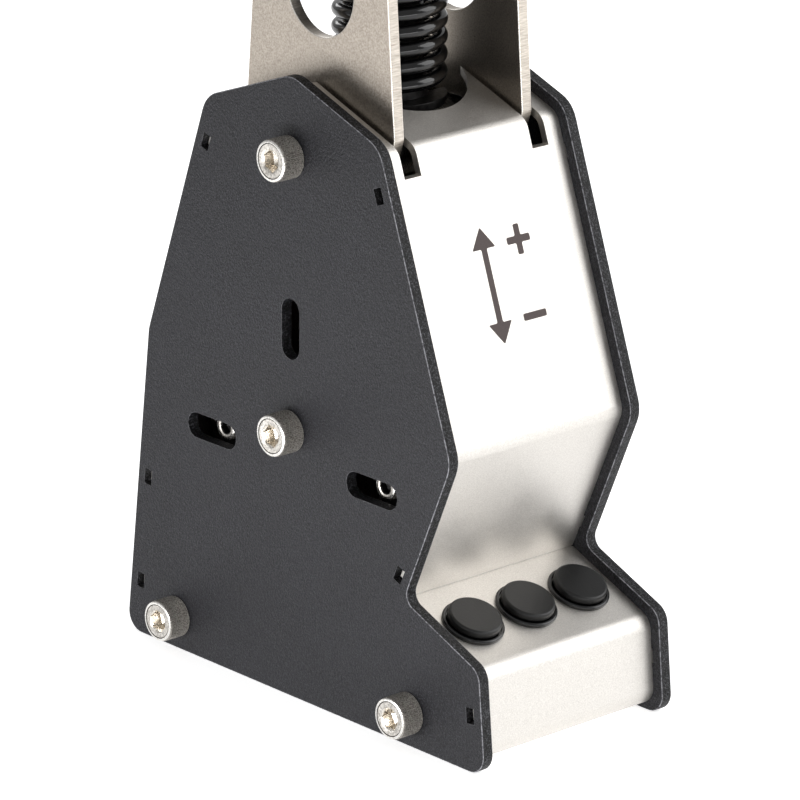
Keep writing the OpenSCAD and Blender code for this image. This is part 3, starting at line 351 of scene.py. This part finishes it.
def gloss_black_spring():
    """Glossy black coat with a little orange peel."""
    n = Nodes("gloss_black_spring")
    peel = n.noise(420, 2, 0.5)
    n.set(
        colour=n.tones(peel, "#040405", "#09090a"), rough=n.band(peel, 0.07, 0.15),
        specular=0.5, normal=n.bump(n.noise(520, 3, 0.6), 0.00012, 0.35))


def circuit_board():
    n = Nodes("circuit_board")
    traces = n.noise(1.0, 0, 0.5, stretch=(900, 160, 160))
    n.set(colour=n.tones(traces, "#123a26", "#1f5a3c", 0.48, 0.52), rough=0.35, coat=0.3,
          coat_rough=0.2)


def pale_floor():
    n = Nodes("pale_floor")
    cloud = n.noise(3, 2)
    n.shader.inputs["Emission Color"].default_value = (1, 1, 1, 1)
    n.shader.inputs["Emission Strength"].default_value = FLOOR_GLOW
    n.set(colour=n.mix(n.band(cloud, 0, 1), (0.90, 0.90, 0.90), (0.92, 0.92, 0.92)),
          rough=0.85, specular=0.2)


def make_materials():
    """The CAD's material slots, the finishes and the painted groove shade in the screws' faces,
    the mark and the floor.
    """
    graphite_coat()
    blasted_stainless()
    lever_stainless()
    zinc_screws()
    screw_dish()
    groove_painted_shade()
    turned_metal("machined_steel", "#8f8d8b", "#b9b6b2", (0.22, 0.40), (3000, 220, 220))
    turned_metal("machined_aluminium", "#b4b3b2", "#d6d5d3", (0.26, 0.42), (240, 240, 2600))
    # Name, darkest and lightest tone, roughness, scale of the grain
    for name, low, high, rough, scale in (
            ("black_anodised", "#17171a", "#232327", (0.30, 0.44), 900),
            ("black_oxide", "#19191a", "#2b2a29", (0.30, 0.48), 700)):
        grained(name, low, high, rough, scale, 0.00004, 0.4, metal=0.75)
    gloss_black_spring()
    # The same, then the depth of the grain and the specular level
    for name, low, high, rough, scale, depth, specular in (
            ("black_plastic", "#1c1c1d", "#252526", (0.40, 0.52), 1100, 0.00004, 0.5),
            ("gloss_bezel", "#070708", "#0d0d0e", (0.16, 0.26), 900, 0.00001, 0.5),
            ("matte_cap", "#0b0b0b", "#111111", (0.32, 0.42), 1600, 0.00005, 0.36),
            ("black_rubber", "#171718", "#222223", (0.62, 0.80), 1300, 0.00008, 0.35),
            ("knob_black", "#161617", "#202022", (0.30, 0.42), 1200, 0.00005, 0.5)):
        grained(name, low, high, rough, scale, depth, 0.6, specular=specular)
    circuit_board()
    grained("brass_standoffs", "#a98542", "#cfab62", (0.24, 0.40), 800, 0.00003, 0.4, metal=1.0)
    grained("socket_inside", "#cac3b9", "#f0eae0", (0.22, 0.34), 1500, 0.00002, 0.4,
            noise=(2, 0.5), metal=1.0)
    grained("etched_mark", "#3a302e", "#4b4140", (0.5, 0.7), 2200, 0.00005, 0.5, metal=0.3)
    pale_floor()


# ---------------------------------------------------------------- mesh helpers
def new_object(name, bm, material):
    mesh = bpy.data.meshes.new(name)
    bm.to_mesh(mesh)
    bm.free()
    obj = bpy.data.objects.new(name, mesh)
    scene.collection.objects.link(obj)
    mesh.materials.append(material)
    return obj


def in_fixed_order(bm):
    """The same mesh with its faces sorted, as bevelling leaves them in an order that varies."""
    bm.verts.index_update()
    faces = []
    for face in bm.faces:
        corners = [v.index for v in face.verts]
        first = corners.index(min(corners))
        faces.append(corners[first:] + corners[:first])
    ordered = bmesh.new()
    points = [ordered.verts.new(v.co) for v in bm.verts]
    for corners in sorted(faces):
        ordered.faces.new([points[i] for i in corners])
    bm.free()
    return ordered


def stand_for(piece, node):
    """Puts a piece in the place of a CAD node: hides the node and puts the piece on its body."""
    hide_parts(node)
    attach(piece, body_of[node])


def shade_round(piece, sharp_from):
    """Smooth shading, apart from edges sharper than the angle in degrees."""
    piece.data.shade_smooth()
    piece.data.set_sharp_from_angle(angle=math.radians(sharp_from))


def shade_dressed(piece, sharp_from):
    """The same for rounded sheet and plate: normals weighted by area keep its large faces flat."""
    mesh = piece.data
    mesh.shade_smooth()
    limit = math.cos(math.radians(sharp_from))
    around = [[] for _ in mesh.vertices]
    for poly in mesh.polygons:
        for corner in poly.vertices:
            around[corner].append((poly.normal.copy(), poly.area))
    normals = []
    for poly in mesh.polygons:
        for corner in poly.vertices:
            total = Vector()
            for normal, area in around[corner]:
                if normal.dot(poly.normal) > limit:
                    total += normal * area
            normals.append(total.normalized())
    mesh.normals_split_custom_set(normals)


def bridge(bm, rings, segments):
    """Joins each ring of vertices to the next; a ring of one vertex is a pole."""
    for low, high in zip(rings, rings[1:]):
        for i in range(segments):
            j = (i + 1) % segments
            if len(low) == 1:
                bm.faces.new((low[0], high[j], high[i]))
            elif len(high) == 1:
                bm.faces.new((low[i], low[j], high[0]))
            else:
                bm.faces.new((low[i], low[j], high[j], high[i]))


def lathe(profile, segments, lift):
    """A closed solid turned from (radius, height) points and lifted, as a bmesh."""
    bm = bmesh.new()
    rings = []
    for r, z in profile:
        angles = [2 * math.pi * i / segments for i in range(segments)] if r > 0 else [0.0]
        rings.append([bm.verts.new((r * math.cos(a), r * math.sin(a), z)) for a in angles])
    bridge(bm, rings, segments)
    bm.transform(Matrix.Translation((0, 0, lift)))
    return bm


# ---------------------------------------------------------------- CAD nodes with rounded edges
WELD = 2e-6          # distance within which the CAD mesh's points are one
SLIVER = 1e-5        # edges shorter than this go
FLAT_WITHIN = 0.4    # faces within this many degrees become one
TALL = 0.7           # a chain of edges this part of the piece's height runs round the whole piece


def paint_cad_nodes():
    for name, obj in nodes.items():
        mesh = obj.data
        mesh.materials.clear()
        mesh.materials.append(MATS[slot_of[name]])
        for poly in mesh.polygons:
            poly.material_index = 0


def outline_edges(bm, edges):
    """Those of the edges that run round the whole piece, and not round an opening in it."""
    heights = [v.co.z for v in bm.verts]
    tall = TALL * (max(heights) - min(heights))
    left, found = set(edges), set()
    while left:
        chain, todo = set(), [left.pop()]
        while todo:
            edge = todo.pop()
            chain.add(edge)
            for vert in edge.verts:
                for other in vert.link_edges:
                    if other in left:
                        left.discard(other)
                        todo.append(other)
        heights = [v.co.z for e in chain for v in e.verts]
        if max(heights) - min(heights) > tall:
            found |= chain
    return found


def dressed(name, width, segments=2, limit=28, crease=58, opening=None):
    """A copy of a CAD node that stands for it, with the edges sharper than the limit rounded.

    Its openings' edges get a width of their own where one is given. Limit and crease, above
    which an edge stays sharp in shading, are in degrees.
    """
    bm = bmesh.new()
    bm.from_mesh(nodes[name].data)
    bmesh.ops.remove_doubles(bm, verts=bm.verts, dist=WELD)
    bmesh.ops.dissolve_degenerate(bm, dist=SLIVER, edges=bm.edges)
    bmesh.ops.dissolve_limit(bm, angle_limit=math.radians(FLAT_WITHIN), verts=bm.verts,
                             edges=bm.edges)
    bmesh.ops.dissolve_degenerate(bm, dist=SLIVER, edges=bm.edges)
    bm.normal_update()
    sharp = [e for e in bm.edges
             if len(e.link_faces) == 2 and e.calc_face_angle(0.0) > math.radians(limit)]
    outline = outline_edges(bm, sharp) if opening else set(sharp)
    for edges, offset in (([e for e in sharp if e not in outline], opening),
                          ([e for e in sharp if e in outline], width)):
        edges = [e for e in edges if e.is_valid]
        if edges:
            bmesh.ops.bevel(bm, geom=edges, offset=offset, segments=segments, profile=0.5,
                            affect="EDGES", clamp_overlap=False)
    piece = new_object("dressed_" + name, in_fixed_order(bm), MATS[slot_of[name]])
    shade_dressed(piece, crease)
    stand_for(piece, name)


# ---------------------------------------------------------------- pieces built here
# The finishes of a screw, and the painted shade of its groove, in the order of its material slots
PLATED, SOCKET, GROOVE, DISH = range(4)


def knurled_screws(name, d, head_d, socket, length, ribs, places, inside="socket_inside"):
    """Socket cap screws: knurled head, rounded top edge, ring and dish in the face, hex socket.

    The head is as high as the thread is thick, d. Each place gives the point under the head,
    the turn of the socket in degrees, and -1 or 1 for a head that points left or right.
    """
    n = ribs * 4
    r = head_d / 2
    knurl = 0.019 * head_d
    edge = 0.055 * head_d
    hex_r = socket / 2 / math.cos(math.pi / 6)
    tip = 0.08 * d
    neck = 0.05 * d
    sink = 0.12 * MM

    def ring(radius, z, knurled=0.0):
        if radius == 0:
            return [Vector((0, 0, z))]
        pts = []
        for i in range(n):
            a = 2 * math.pi * i / n
            rr = radius - knurled * (1, 0.5, 0, 0.5)[i % 4]
            pts.append(Vector((rr * math.cos(a), rr * math.sin(a), z)))
        return pts

    def hex_ring(radius, z):
        pts = []
        for i in range(n):
            a = 2 * math.pi * i / n
            turn = (a + math.pi / 6) % (math.pi / 3) - math.pi / 6
            rr = radius * math.cos(math.pi / 6) / math.cos(turn)
            a += math.pi / 6
            pts.append(Vector((rr * math.cos(a), rr * math.sin(a), z)))
        shift = n // 12
        return pts[-shift:] + pts[:-shift]

    # Rings from the shank's end up the head and down into the socket, each with the finish of
    # the faces that join it to the next
    layout = [
        (ring(0, -length), PLATED),
        (ring(d / 2 - tip, -length), PLATED),
        (ring(d / 2, -length + tip), PLATED),
        (ring(d / 2, 0), PLATED),
        (ring(r - 0.35 * MM, 0), PLATED),
        (ring(r - 0.05 * MM, 0.35 * MM), PLATED),
        (ring(r - 0.05 * MM, neck), PLATED),
        (ring(r, neck + 0.25 * MM, knurl), PLATED),
        (ring(r, d - edge - 0.25 * MM, knurl), PLATED),
        (ring(r - 0.1 * MM, d - edge), PLATED),
        (ring(r - 0.35 * edge, d - 0.28 * edge), PLATED),
        (ring(r - edge, d), PLATED),
        # The groove's faces get the painted shade
        (ring(r - edge - 0.30 * MM, d), GROOVE),
        (ring(r - edge - 0.45 * MM, d - 0.35 * MM), GROOVE),
        (ring(r - edge - 0.60 * MM, d - sink), DISH),
        (ring(hex_r + 0.35 * MM, d - sink), DISH),
        (ring(hex_r + 0.10 * MM, d - 0.22 * MM), SOCKET),
        (hex_ring(hex_r, d - 0.55 * MM), SOCKET),
        (hex_ring(hex_r, d / 2), SOCKET),
        (hex_ring(hex_r * 0.5, d / 2 - 0.12 * d), SOCKET),
        (ring(0, d / 2 - 0.2 * d), SOCKET)]
    bm = bmesh.new()
    for point, spin, side in places:
        pose = (Matrix.Translation(point) @ Matrix.Rotation(side * math.pi / 2, 4, "Y")
                @ Matrix.Rotation(math.radians(spin), 4, "Z"))
        old = len(bm.faces)
        bridge(bm, [[bm.verts.new(pose @ p) for p in pts] for pts, _ in layout], n)
        bm.faces.ensure_lookup_table()
        for k, (_, finish) in enumerate(layout[:-1]):
            for face in bm.faces[old + n * k:old + n * (k + 1)]:
                face.material_index = finish
    bmesh.ops.recalc_face_normals(bm, faces=bm.faces)
    piece = new_object("detailed_" + name, bm, MATS[slot_of[name]])
    for extra in (inside, "groove_painted_shade", "screw_dish"):
        piece.data.materials.append(MATS[extra])
    shade_round(piece, 32)
    stand_for(piece, name)


def chamfered_nut(name, across, bore):
    """A hexagon nut with both faces turned off at the corners and a countersunk bore."""
    low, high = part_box(name)
    segments, steps, turned_off = 96, 6, math.radians(28)
    height, countersink = high.z - low.z, 0.4 * MM
    flat, rim = across / 2 * 0.955, across / 2 / math.cos(math.pi / 6)
    drop = (rim - flat) * math.tan(turned_off)
    levels = [drop * k / steps for k in range(1, steps + 1)]
    rings = [(bore, countersink, False), (bore + countersink, 0, False), (flat, 0, True)]
    rings += [(flat + (rim - flat) * z / drop, z, True) for z in levels]
    rings += [(flat + (rim - flat) * z / drop, height - z, True) for z in reversed(levels)]
    rings += [(flat, height, True), (bore + countersink, height, False),
              (bore, height - countersink, False)]
    bm = bmesh.new()
    loops = []
    for radius, z, cut_by_hexagon in rings:
        loop = []
        for i in range(segments):
            a = 2 * math.pi * i / segments
            to_side = across / 2 / math.cos(a % (math.pi / 3) - math.pi / 6)
            r = min(radius, to_side) if cut_by_hexagon else radius
            loop.append(bm.verts.new((r * math.cos(a), r * math.sin(a), low.z + z)))
        loops.append(loop)
    bridge(bm, loops + loops[:1], segments)
    bmesh.ops.recalc_face_normals(bm, faces=bm.faces)
    piece = new_object("detailed_" + name, bm, MATS[slot_of[name]])
    shade_round(piece, 25)
    stand_for(piece, name)


def grip_knob():
    """The knob's own profile, finer, with three grip rings and a parting line round the dome."""
    low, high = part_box("shift_knob")
    r, height = (high.x - low.x) / 2, high.z - low.z
    foot, waist, waist_z, dome = 0.66 * r, 0.6 * r, 0.19 * height, 0.5714 * r
    bore, bore_depth, band = 6.1 * MM, 17 * MM, 4 * MM
    top = height - dome
    profile = [(0, bore_depth), (bore, bore_depth), (bore, 0.5 * MM), (bore + 0.5 * MM, 0),
               (foot - 1 * MM, 0), (foot - 0.3 * MM, 0.3 * MM), (foot, 1 * MM), (foot, 5 * MM),
               (foot - 0.25 * MM, 5.9 * MM)]
    # Height and depth of each groove
    grooves = [(waist_z + 5 * MM + 4.2 * MM * k, 0.5 * MM) for k in range(3)]
    grooves.append((top - 1.2 * MM, 0.3 * MM))
    groove_half = 0.75 * MM
    neck_steps, band_steps, dome_steps = 124, 16, 20
    for k in range(neck_steps + 1):
        t = k / neck_steps
        z = waist_z + (top - waist_z - band) * t
        profile.append((waist + (r - waist) * (1 - math.cos(math.pi * t)) / 2, z))
    profile += [(r, top - band + band * k / band_steps) for k in range(1, band_steps + 1)]
    profile += [(r - dome + dome * math.cos(a), top + dome * math.sin(a))
                for a in (math.pi / 2 * k / dome_steps for k in range(1, dome_steps))]
    profile.append((0, height))
    shaped = []
    for out, z in profile:
        for place, depth in grooves:
            gap = abs(z - place) / groove_half
            if gap < 1 and out > waist * 0.9:
                out -= depth * (1 + math.cos(math.pi * gap)) / 2
        shaped.append((out, z))
    bm = lathe(shaped, 96, low.z)
    bmesh.ops.recalc_face_normals(bm, faces=bm.faces)
    piece = new_object("grip_knob", bm, MATS["knob_black"])
    shade_round(piece, 40)
    stand_for(piece, "shift_knob")


# The front face: a point at its top, the way down along it and the way out of it
FACE_TOP = Vector((0, -35.509 * MM, 180.391 * MM))
FACE_DOWN = Vector((0, -0.33580, -0.94193))
FACE_OUT = Vector((0, -0.94193, 0.33580))


def shift_mark():
    """A plain shift diagram etched on the face: a double arrow, a plus and a minus."""
    half, arm = 1.1, 4.6                       # half the lines' width, half the signs' width
    head, long_head, reach = 4.6, 6.5, 17.6    # the arrow heads and half the arrow's length
    sunk, proud, rounded = 0.02 * MM, 0.05 * MM, 0.5 * MM
    arrow = [(0, -reach), (head, -reach + long_head), (half, -reach + long_head),
             (half, reach - long_head), (head, reach - long_head), (0, reach),
             (-head, reach - long_head), (-half, reach - long_head),
             (-half, -reach + long_head), (-head, -reach + long_head)]
    plus = [(half, -arm), (half, -half), (arm, -half), (arm, half), (half, half), (half, arm),
            (-half, arm), (-half, half), (-arm, half), (-arm, -half), (-half, -half),
            (-half, -arm)]
    minus = [(arm, -half), (arm, half), (-arm, half), (-arm, -half)]
    bm = bmesh.new()
    for outline, across, down in ((arrow, -5.0, 47.0), (plus, 9.0, 35.5), (minus, 9.0, 58.5)):
        base = [bm.verts.new(Vector(((x + across) * MM, 0, 0)) + FACE_TOP
                             + FACE_DOWN * ((y + down) * MM) - FACE_OUT * sunk)
                for x, y in outline]
        raised = bmesh.ops.extrude_face_region(bm, geom=[bm.faces.new(base)])
        bmesh.ops.translate(bm, vec=FACE_OUT * (sunk + proud),
                            verts=[v for v in raised["geom"] if isinstance(v, bmesh.types.BMVert)])
    corners = [e for e in bm.edges
               if abs((e.verts[0].co - e.verts[1].co).dot(FACE_OUT)) > proud]
    bmesh.ops.bevel(bm, geom=corners, offset=rounded, segments=4, profile=0.5, affect="EDGES")
    bmesh.ops.recalc_face_normals(bm, faces=bm.faces)
    piece = new_object("shift_mark", in_fixed_order(bm), MATS["etched_mark"])
    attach(piece, "housing")


def seam_strip():
    """A strip down in the seam between the front cover and the button cover.

    It closes the gap of 0.2 mm a little below its mouth, so that it shows as a fine line.
    """
    mouth = Vector((0, -46.37 * MM, 43.905 * MM))
    inward = Vector((0, 0.9258, -0.3782))
    across = Vector((0, 0.3782, 0.9258))
    length, depth, thick, sunk = 69.6 * MM, 1.9 * MM, 0.19 * MM, 0.6 * MM
    bm = bmesh.new()
    bmesh.ops.create_cube(bm, size=1.0)
    for vert in bm.verts:
        x, y, z = vert.co
        vert.co = (mouth + inward * (sunk + depth * (0.5 + y)) + across * thick * z
                   + Vector((length * x, 0, 0)))
    bmesh.ops.recalc_face_normals(bm, faces=bm.faces)
    piece = new_object("seam_strip", bm, MATS["blasted_stainless"])
    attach(piece, "housing")


def coil_spring():
    """Spring with closed, ground ends, between the plunger's rim and the upper seat."""
    low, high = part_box("spring")
    wire, coil = 2.2 * MM, 15.3 * MM           # radii of the wire and of the coil's middle line
    pitch, closed = 5.45 * MM, 4.5 * MM        # rise of a turn, in the middle and at the ends
    sides, rings = 18, 56                      # round the wire and to a turn
    ground = 0.3 * MM
    end_turns, ease_turns = 0.35, 0.3
    start_angle = math.radians(-5)
    first_z = low.z + wire - ground
    travel = high.z - wire + ground - first_z
    turns = (travel + (pitch - closed)) / pitch

    def pitch_at(t):
        t = min(t, turns - t)
        k = min(max((t - end_turns) / ease_turns, 0), 1)
        return closed + (pitch - closed) * k * k * (3 - 2 * k)

    count = int(turns * rings)
    step = turns / count
    heights = [0.0]
    for i in range(count):
        heights.append(heights[-1] + pitch_at((i + 0.5) * step) * step)
    scale = travel / heights[-1]
    rise = math.atan2(pitch, 2 * math.pi * coil)
    lean, climb = math.sin(rise), math.cos(rise)
    bm = bmesh.new()
    loops = []
    for i, h in enumerate(heights):
        a = start_angle + 2 * math.pi * step * i
        out = Vector((math.cos(a), math.sin(a), 0))
        up = Vector((math.sin(a) * lean, -math.cos(a) * lean, climb))
        centre = out * coil + Vector((0, 0, first_z + h * scale))
        loop = []
        for k in range(sides):
            b = 2 * math.pi * k / sides
            p = centre + wire * (math.cos(b) * out + math.sin(b) * up)
            p.z = min(max(p.z, low.z), high.z)
            loop.append(bm.verts.new(p))
        loops.append(loop)
    bridge(bm, loops, sides)
    bm.faces.new(list(reversed(loops[0])))
    bm.faces.new(loops[-1])
    bmesh.ops.recalc_face_normals(bm, faces=bm.faces)
    piece = new_object("coil_spring", bm, MATS["gloss_black_spring"])
    shade_round(piece, 50)
    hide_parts("spring")
    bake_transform(piece)


# ---------------------------------------------------------------- the whole part
# Width of the rounded edges, then the nodes that get it
ROUNDED = (
    (0.1, ("front_cover", "button_cover", "rear_cover")),
    (0.35, ("left_lever_plate", "right_lever_plate")),
    (0.2, ("base_plate", "plunger", "upper_spring_seat", "top_block", "pivot_hub",
           "preload_nut", "buffer_washers", "usb_socket", "front_cross_bar", "rear_cross_bar",
           "front_buffer", "rear_buffer", "detent_roller", "lever_shaft")),
)
LEFT, RIGHT = -1, 1
# Place on the side plate in mm and turn of the socket, for each M8 screw
BOLTS = ((0, 170.9, 8), (0, 85.5, 21), (-53.7, 10.8, 33), (53.7, 10.8, 15))
# Distance from the middle to the seat of the head, distance to front and rear, and height, in mm
BUFFER_SCREWS = (28.65, 36.5, 76.1)
TOP_SCREWS = (27.65, 9, 297.1)


def four_places(screws, spin):
    """Two screws a side, front and rear, with the turn of the socket that spin gives for each."""
    out, along, up = screws
    return [((side * out * MM, y * MM, up * MM), spin(y), side)
            for side in (LEFT, RIGHT) for y in (-along, along)]


def build():
    for name in ("left_side_plate", "right_side_plate"):
        dressed(name, 0.45 * MM, opening=0.08 * MM)
    for width, names in ROUNDED:
        for name in names:
            dressed(name, width * MM)
    for side in ("left", "middle", "right"):
        dressed(side + "_button_body", 0.12 * MM)
        dressed(side + "_button_cap", 0.4 * MM, segments=3, limit=20, crease=50)
    coil_spring()
    grip_knob()
    chamfered_nut("jam_nut", across=18 * MM, bore=6 * MM)
    shift_mark()
    seam_strip()
    for side, word, face in ((LEFT, "left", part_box("left_side_plate")[0].x),
                             (RIGHT, "right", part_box("right_side_plate")[1].x)):
        knurled_screws(word + "_bolts", d=8 * MM, head_d=13 * MM, socket=6 * MM, length=25 * MM,
                       ribs=72, places=[((face, y * MM, z * MM), spin, side)
                                        for y, z, spin in BOLTS])
    knurled_screws("buffer_screws", d=5 * MM, head_d=8.5 * MM, socket=4 * MM, length=16 * MM,
                   ribs=48, places=four_places(BUFFER_SCREWS, lambda y: 10 + y),
                   inside="black_oxide")
    knurled_screws("top_block_screws", d=6 * MM, head_d=10 * MM, socket=5 * MM,
                   length=13 * MM, ribs=56, places=four_places(TOP_SCREWS, lambda y: 25 + 3 * y))


make_materials()
add_camera()
paint_cad_nodes()
build()
add_floor()
light_the_studio()
